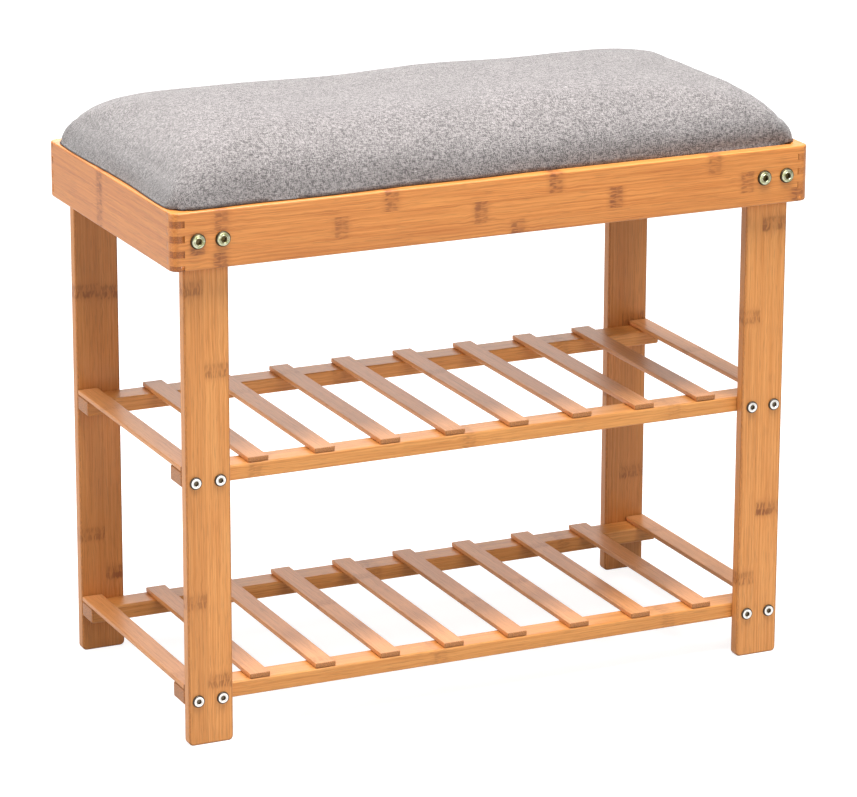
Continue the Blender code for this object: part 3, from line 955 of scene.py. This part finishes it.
# %% [markdown]
# ## The pad: shape
# The pad is a foam block on a plywood board, wrapped in a linen-like cover. The cover is straight
# where the tray holds it, swells a little over the rim and rises to a low crown. It could be shaped
# by hand, but real cloth decides for itself where it stretches and where it goes slack. So the form
# is inflated as cloth, with its lower edge held, and how far a point may move is capped. It starts a
# little large, because the taut cloth draws its shoulders in.

# %% The pad's form
COVER_LOW, COVER_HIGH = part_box("seat_cover")
PAD_HALF = Vector((COVER_HIGH.x - 0.0008, COVER_HIGH.y - 0.0008))
END_SHOULDER = 0.0865  # how far in from the ends the crown begins
BACK_SHOULDER = 0.1246  # how far in from the back
FRONT_SHOULDER = 0.090  # the front falls more steeply
BULGE_HEIGHT = RIM + 0.0098
BULGE = 0.0014
CROWN_SAG = 0.0022  # the form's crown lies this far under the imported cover's
SIDE_POWER = 0.66
CROWN_POWER = 1.26
PROFILE_STEPS = 14
CORNER = 0.0095
CORNER_OPENING = 1.3  # how much faster than the shoulder the corners open
CORNER_LIMIT = 0.45
CORNER_STEPS = 6
CLOTH = 0.0012


def pad_profile(larger):
    """The side and crown as (share of the shoulder, outset, height), drawn larger by this much."""
    crown = COVER_HIGH.z - CROWN_SAG + larger
    yield 0, -0.001, COVER_LOW.z
    yield 0, 0, COVER_LOW.z + 0.001
    yield 0, 0, RIM - 0.002
    for i in range(PROFILE_STEPS + 1):
        angle = math.pi / 2 * i / PROFILE_STEPS
        share = 1 - math.cos(angle) ** SIDE_POWER
        rise = math.sin(angle) ** CROWN_POWER
        yield share, BULGE + larger, BULGE_HEIGHT + (crown - BULGE_HEIGHT) * rise


def pad_form(name, larger):
    bm = bmesh.new()
    rings = []
    for share, outset, height in pad_profile(larger):
        half_x = PAD_HALF.x + outset - share * (END_SHOULDER + outset)
        back = PAD_HALF.y + outset - share * (BACK_SHOULDER + outset)
        front = PAD_HALF.y + outset - share * (FRONT_SHOULDER + outset)
        opened = CORNER + CORNER_OPENING * share * END_SHOULDER
        radius = min(opened, CORNER_LIMIT * (back + front))
        ring = []
        for turn, (x_way, y_way) in enumerate([(1, 1), (-1, 1), (-1, -1), (1, -1)]):
            for i in range(CORNER_STEPS + 1):
                angle = math.pi / 2 * (turn + i / CORNER_STEPS)
                x = x_way * (half_x - radius) + radius * math.cos(angle)
                y = y_way * ((back if y_way > 0 else front) - radius) + radius * math.sin(angle)
                ring.append(bm.verts.new((x, y, height)))
        rings.append(ring)
    for ring, following in zip(rings, rings[1:]):
        for i, vertex in enumerate(ring):
            j = (i + 1) % len(ring)
            bm.faces.new((vertex, ring[j], following[j], following[i]))
    bm.faces.new(rings[0][::-1])
    bm.faces.new(rings[-1])
    return piece_of(name, mesh_of(name, bm))


# %% Even out the mesh and inflate it
VOXEL = 0.006
STARTS_LARGER = 0.0012
MOST_MOVED = 0.003

cushion = pad_form("seat_cushion", STARTS_LARGER)
remesh = cushion.modifiers.new("even", "REMESH")
remesh.mode = "VOXEL"
remesh.voxel_size = VOXEL
settle(cushion)
print("even mesh:", len(cushion.data.vertices), "points")


def hold(height):
    """How firmly the tray and the staples hold the cover at a height: 1 is fixed."""
    return max(0.0, min(1.0, (RIM + 0.003 - height) / 0.004))


def inflate(piece, pressure=4.0, frames=20):
    before = [vertex.co.copy() for vertex in piece.data.vertices]
    held = piece.vertex_groups.new(name="held")
    for vertex in piece.data.vertices:
        held.add([vertex.index], hold(vertex.co.z), "REPLACE")
    cloth = piece.modifiers.new("cloth", "CLOTH")
    settings = cloth.settings
    settings.quality = 6
    settings.mass = 0.25
    settings.tension_stiffness = 12
    settings.compression_stiffness = 12
    settings.shear_stiffness = 6
    settings.bending_stiffness = 3.0
    settings.use_pressure = True
    settings.uniform_pressure_force = pressure
    settings.effector_weights.gravity = 0
    settings.vertex_group_mass = "held"
    settings.shrink_min = -0.003
    cloth.point_cache.frame_start = 1
    cloth.point_cache.frame_end = frames
    for number in range(1, frames + 1):
        scene.frame_set(number)
    settle(piece)
    moved = []
    for vertex, start in zip(piece.data.vertices, before):
        move = vertex.co - start
        moved.append(move.length)
        vertex.co = start + move * MOST_MOVED / (MOST_MOVED + move.length)
    scene.frame_set(1)
    return moved


moves = [1000 * move for move in inflate(cushion)]
mean = sum(moves) / len(moves)
print(f"before the cap the cloth moved {mean:.1f} mm on average and {max(moves):.1f} mm at most")

# %% [markdown]
# The pad in use isn't even. A few smooth, low waves run over the crown. Just above the tray the
# foam swells over the rim: widest at the left end and at the left of the front, not at all at the
# front's right. The mesh is relaxed and made finer before its lowest free row is laid on the rim.

# %% Let the pad settle unevenly
WAVE = 0.0010
LEFT_SWELL = 0.0100
RIGHT_SWELL = 0.0095
BACK_SWELL = 0.0030
FRONT_SWELL = 0.0046  # in the middle of the front
FRONT_FALL = 0.0215  # how much less it swells for each metre to the right
FRONT_MOST = 0.0088
TUCK = 0.0006  # the cloth just under the rim stands out this far
REST = 0.0008  # the row laid on the rim stands this far above it


def settle_crown(piece):
    """Sends low waves over the crown, which fade out above the rim."""
    for vertex in piece.data.vertices:
        place = vertex.co
        free = min(1.0, max(0.0, (place.z - RIM - 0.004) / 0.03))
        wave = math.sin(23 * place.x + 9 * place.y) + 0.6 * math.sin(41 * place.x - 19 * place.y + 2)
        vertex.co.z += WAVE * wave * free


def swell(place, way):
    """How far the pad swells over the rim where its side faces this way."""
    end = LEFT_SWELL if way.x < 0 else RIGHT_SWELL
    front = max(0.0, min(FRONT_MOST, FRONT_SWELL - FRONT_FALL * place.x))
    side = front if way.y < 0 else BACK_SWELL
    ripple = 1 + 0.12 * math.sin(47 * place.x + 29 * place.y)
    return (end * way.x ** 2 + side * way.y ** 2) * ripple


def lay_on_rim(piece):
    """Lays one row of points on the rim and leans the rows above back from it."""
    core = PAD_HALF - Vector((CORNER, CORNER))
    for vertex in piece.data.vertices:
        place = vertex.co
        above = place.z - RIM
        nearest = Vector((max(-core.x, min(core.x, place.x)), max(-core.y, min(core.y, place.y))))
        beyond = place.xy - nearest
        if beyond.length < 0.6 * CORNER or above < -0.0045:
            continue
        way = beyond.normalized()
        if above < -0.0015:
            place.z = RIM - TUCK
            push = TUCK
        elif above < 0.0015:
            place.z = RIM + REST
            push = swell(place, way)
        else:
            reach = 0.020 + 0.008 * way.x ** 2
            push = swell(place, way) * max(0.0, 1 - above / reach) ** 1.5
        place.x += push * way.x
        place.y += push * way.y


# %% Relax and lay the pad on the rim
settle_crown(cushion)
relax = cushion.modifiers.new("relax", "SMOOTH")
relax.factor = 0.5
relax.iterations = 1
finer = cushion.modifiers.new("finer", "SUBSURF")
finer.levels = finer.render_levels = 1
settle(cushion)
lay_on_rim(cushion)

# %% [markdown]
# ## The pad: foam and cover
# The foam takes the settled shape, two millimetres smaller and flat underneath. The cover is the same
# shape opened below, where it turns under the board by three centimetres, and given the thickness of
# cloth.

# %% Foam block
FOAM_UNDER = 0.0021  # the foam lies this far under the cover's outer face
FOAM_GAP = 0.0003
BOARD_LOW, BOARD_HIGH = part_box("seat_board")


def foam_finish():
    foam = Finish("foam_cells")
    place = foam.add("ShaderNodeTexCoord").outputs["Object"]
    cells = foam.add("ShaderNodeTexVoronoi", {"Vector": place, "Scale": 900.0}).outputs["Distance"]
    tone = foam.noise(foam.out("ShaderNodeVectorMath", {0: place, 3: 60.0}, operation="SCALE"))
    colour = foam.blend(tone, (0.84, 0.80, 0.62), (0.76, 0.70, 0.50))
    # painted shade: the foam darkens towards the middle of each cell, where its hollow lies
    colour = foam.shade(colour, foam.fade(cells, -0.5, 0.4))
    foam.surface(Base_Color=colour, Roughness=0.95, Normal=foam.relief(cells, 0.0005, 0.6))
    return foam


foam_mesh = cushion.data.copy()
foam_mesh.name = "seat_foam_block"
normals = [vertex.normal.copy() for vertex in foam_mesh.vertices]
foam_floor = BOARD_HIGH.z + FOAM_GAP
for vertex, normal in zip(foam_mesh.vertices, normals):
    vertex.co -= FOAM_UNDER * normal
    vertex.co.z = max(vertex.co.z, foam_floor)
foam_block = piece_of("seat_foam_block", foam_mesh, foam_finish())
foam_mesh.shade_smooth()
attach(foam_block, "seat_pad")
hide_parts("seat_foam")
print("foam:", len(foam_mesh.polygons), "faces")

# %% Cover
TURN_UNDER = 0.030


def in_opening(face):
    """Whether a face lies where the cover is open underneath."""
    middle = face.calc_center_median()
    inside = abs(middle.x) < PAD_HALF.x - TURN_UNDER and abs(middle.y) < PAD_HALF.y - TURN_UNDER
    return inside and middle.z < COVER_LOW.z + 0.004


bm = bmesh.new()
bm.from_mesh(cushion.data)
bmesh.ops.delete(bm, geom=[face for face in bm.faces if in_opening(face)], context="FACES")
cover = piece_of("seat_cushion_cover", mesh_of("seat_cushion_cover", bm))
thickness = cover.modifiers.new("cloth_thickness", "SOLIDIFY")
thickness.thickness = CLOTH
thickness.offset = -1
settle(cover)
bpy.data.objects.remove(cushion)
print("cover:", len(cover.data.polygons), "faces")

# %% [markdown]
# ## Linen
# The cover is a plain weave of heathered yarn: every thread goes over one and under the next, and
# each is spun from light and dark fibres, so its shade drifts along its length. A weave should follow
# the cloth round the shoulder, which flat coordinates can't do. So the mesh stores, for each point,
# how far along the cloth it lies: straight across the top, then down the side by the distance that
# the cloth really travels.

# %% Cloth coordinates
ROUNDED = 0.060  # the cloth turns down over this much of the pad's edge
TRAVEL = 1.54  # this power makes a quarter turn as long as its arc


def store_cloth(mesh):
    """Stores how far along the cloth each point lies, and its height above the rim."""
    flat = PAD_HALF - Vector((ROUNDED, ROUNDED))
    cloth = mesh.attributes.new("cloth", "FLOAT_VECTOR", "POINT")
    for vertex in mesh.vertices:
        x, y, z = vertex.co
        nearest = Vector((max(-flat.x, min(flat.x, x)), max(-flat.y, min(flat.y, y))))
        beyond = Vector((x, y)) - nearest
        out, down = beyond.length, max(0.0, COVER_HIGH.z - z)
        place = Vector((x, y))
        if out > MERGE and z > COVER_LOW.z + 0.002:
            along = (out ** TRAVEL + down ** TRAVEL * min(1, out / 0.01)) ** (1 / TRAVEL)
            place = nearest + beyond / out * along
        cloth.data[vertex.index].vector = (place.x, place.y, z - RIM)


store_cloth(cover.data)

# %% Linen material
YARN_PITCH = 0.00076


def linen(name):
    cloth = Finish(name)
    u, v, height = cloth.split(cloth.stored("cloth"))
    wander = cloth.noise(cloth.scaled((u, v, 0.0), (55, 55, 1)))
    u = cloth.sum(u, cloth.product(cloth.minus(wander, 0.5), 0.0006))
    v = cloth.sum(v, cloth.product(cloth.minus(wander, 0.5), -0.0006))
    across, along = cloth.math("DIVIDE", u, YARN_PITCH), cloth.math("DIVIDE", v, YARN_PITCH)
    warp, weft = cloth.math("FLOOR", across), cloth.math("FLOOR", along)

    warp_yarn = cloth.noise(cloth.scaled((warp, along, 3.0), (7.31, 0.22, 1)))
    weft_yarn = cloth.noise(cloth.scaled((across, weft, 9.0), (0.18, 5.77, 1)))
    over = cloth.math("PINGPONG", cloth.sum(warp, weft), 1.0)
    weft_seen = cloth.product(cloth.minus(1.0, over), weft_yarn)
    yarn = cloth.sum(cloth.product(over, warp_yarn), weft_seen)

    warp_round = cloth.math("SINE", cloth.product(cloth.math("FRACT", across), math.pi))
    weft_round = cloth.math("SINE", cloth.product(cloth.math("FRACT", along), math.pi))
    weave = cloth.math("MULTIPLY", warp_round, weft_round)

    blotch = cloth.noise(cloth.scaled((u, v, 1.0), (26, 26, 1)), detail=4.0)
    colour = cloth.blend(cloth.fade(yarn, 0.40, 0.60), (0.102, 0.092, 0.092), (0.385, 0.354, 0.347))
    # The weave term is painted shade in the gaps between the yarns; the blotch is a random tone.
    depth = cloth.sum(0.66, cloth.product(weave, 0.30), cloth.product(blotch, 0.20))
    colour = cloth.shade(colour, depth)
    side = cloth.fade(height, 0.036, 0.004)  # painted shade: the cover darkens on its steep sides towards the rim
    colour = cloth.shade(colour, cloth.minus(1.0, cloth.product(side, 0.30)))
    slub = cloth.fade(cloth.math("MAXIMUM", warp_yarn, weft_yarn), 0.70, 0.80)
    colour = cloth.blend(cloth.product(slub, 0.5), colour, (0.70, 0.67, 0.66))
    relief = cloth.sum(weave, cloth.product(slub, 0.6), cloth.product(blotch, 0.4))
    cloth.surface(
        Base_Color=colour, Roughness=0.88, Specular_IOR_Level=0.25, Sheen_Weight=0.35,
        Sheen_Roughness=0.5, Normal=cloth.relief(relief, 0.00022, 0.8),
    )
    return cloth


LINEN = linen("linen_heather_grey")
cover.data.materials.clear()
cover.data.materials.append(LINEN.material)
cover.data.shade_smooth()
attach(cover, "seat_pad")
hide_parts("seat_cover")

# %% [markdown]
# ## The pad's board and its staples
# Turned over, the pad shows a plywood board with the cover folded under and stapled down. The
# plywood's edge shows its layers, and its face is a sliced veneer. The staples stand a finger's width
# apart all round: a Geometry Nodes tree walks a rectangle and sets a short wire at every step.

# %% Plywood board
VENEER = 0.0018
BOARD_CORNER = 0.010
BOARD_EDGE = 0.0006


def plywood(name):
    board = Finish(name)
    x, y, z = board.split(board.add("ShaderNodeTexCoord").outputs["Object"])
    rings = board.noise(board.scaled((x, y, z), (5, 70, 20)), detail=4.0, roughness=0.6)
    pores = board.noise(board.scaled((x, y, z), (120, 1500, 1500)), detail=1.0)
    colour = board.blend(board.fade(rings, 0.32, 0.68), (0.52, 0.34, 0.17), (0.70, 0.53, 0.32))
    dots = board.product(board.fade(pores, 0.56, 0.7), 0.3)
    colour = board.shade(colour, board.minus(1.0, dots))
    veneers = board.math("DIVIDE", board.minus(z, BOARD_LOW.z), VENEER)
    layers = board.fade(board.math("PINGPONG", veneers, 1.0), 0.3, 0.6)
    colour = board.shade(colour, board.sum(0.72, board.product(layers, 0.28)))
    board.surface(Base_Color=colour, Roughness=0.72, Normal=board.relief(pores, 0.0002, 0.4))
    return board


bm = filled_box(BOARD_LOW, BOARD_HIGH)
uprights = [edge for edge in bm.edges if abs(edge.verts[0].co.z - edge.verts[1].co.z) > 0.001]
bmesh.ops.bevel(bm, geom=uprights, offset=BOARD_CORNER, segments=6, profile=0.5, affect="EDGES")
rims = [edge for edge in bm.edges if edge.calc_face_angle() > SHARP]
bmesh.ops.bevel(bm, geom=rims, offset=BOARD_EDGE, segments=2, profile=0.5, affect="EDGES")
seat_board = piece_of("pad_plywood", mesh_of("pad_plywood", bm), plywood("birch_plywood"))
even_shading(seat_board)
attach(seat_board, "seat_pad")
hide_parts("seat_board")

# %% Staples
STAPLE_INSET = 0.016
STAPLE_HEIGHT = 0.0003
SKEW = 0.3  # a staple stands up to this many radians askew
STAPLE_RADIUS_SHARE = 0.6  # the staples read this share of the radius, inside the painted groove shade, which darkens them evenly


def staple_tree():
    lengths = ("Width", "Depth", "Height", "Crown", "Wire")
    sockets = {length: "Float" for length in lengths}
    sockets.update({"Count": "Int", "Seed": "Int", "Material": "Material"})
    grow = growing_tree("staples_round_the_pad", sockets)
    given = grow.add("NodeGroupInput").outputs

    sides = {"Width": given["Width"], "Height": given["Depth"]}
    outline = grow.out("GeometryNodeCurvePrimitiveQuadrilateral", sides)
    lift = grow.out("ShaderNodeCombineXYZ", {2: given["Height"]})
    outline = grow.out("GeometryNodeTransform", {"Geometry": outline, "Translation": lift})
    steps = {"Curve": outline, "Count": given["Count"]}
    points = grow.add("GeometryNodeCurveToPoints", steps, mode="COUNT").outputs

    half = grow.out("ShaderNodeMath", {0: given["Crown"], 1: 0.5}, operation="MULTIPLY")
    minus = grow.out("ShaderNodeMath", {0: half, 1: -1.0}, operation="MULTIPLY")
    start, end = (grow.out("ShaderNodeCombineXYZ", {0: x}) for x in (minus, half))
    bar = grow.out("GeometryNodeCurvePrimitiveLine", {"Start": start, "End": end})
    wire = grow.out("GeometryNodeCurvePrimitiveCircle", {"Resolution": 6, "Radius": given["Wire"]})
    shape = {"Curve": bar, "Profile Curve": wire, "Fill Caps": True}
    staple = grow.out("GeometryNodeCurveToMesh", shape)

    heading = grow.out("FunctionNodeAlignRotationToVector", {"Vector": points["Tangent"]}, axis="X")
    placed = place_copies(grow, points[0], staple, heading)
    finish_tree(grow, turn_each(grow, placed, -SKEW, SKEW, given["Seed"]), given["Material"])
    return grow


values = {
    "Width": 2 * (PAD_HALF.x - STAPLE_INSET), "Depth": 2 * (PAD_HALF.y - STAPLE_INSET),
    "Height": COVER_LOW.z + STAPLE_HEIGHT, "Count": 46, "Crown": 0.010, "Wire": 0.0006, "Seed": 2,
    "Material": ZINC_BRIGHT.material,
}
staples = grow_piece("cover_staples", staple_tree(), bpy.data.meshes.new("cover_staples"), values)
radius = staples.data.attributes.new("radius", "FLOAT", "POINT")
for item in radius.data:
    item.value = STAPLE_RADIUS_SHARE
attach(staples, "seat_pad")
print("staples:", len(staples.data.polygons), "faces")
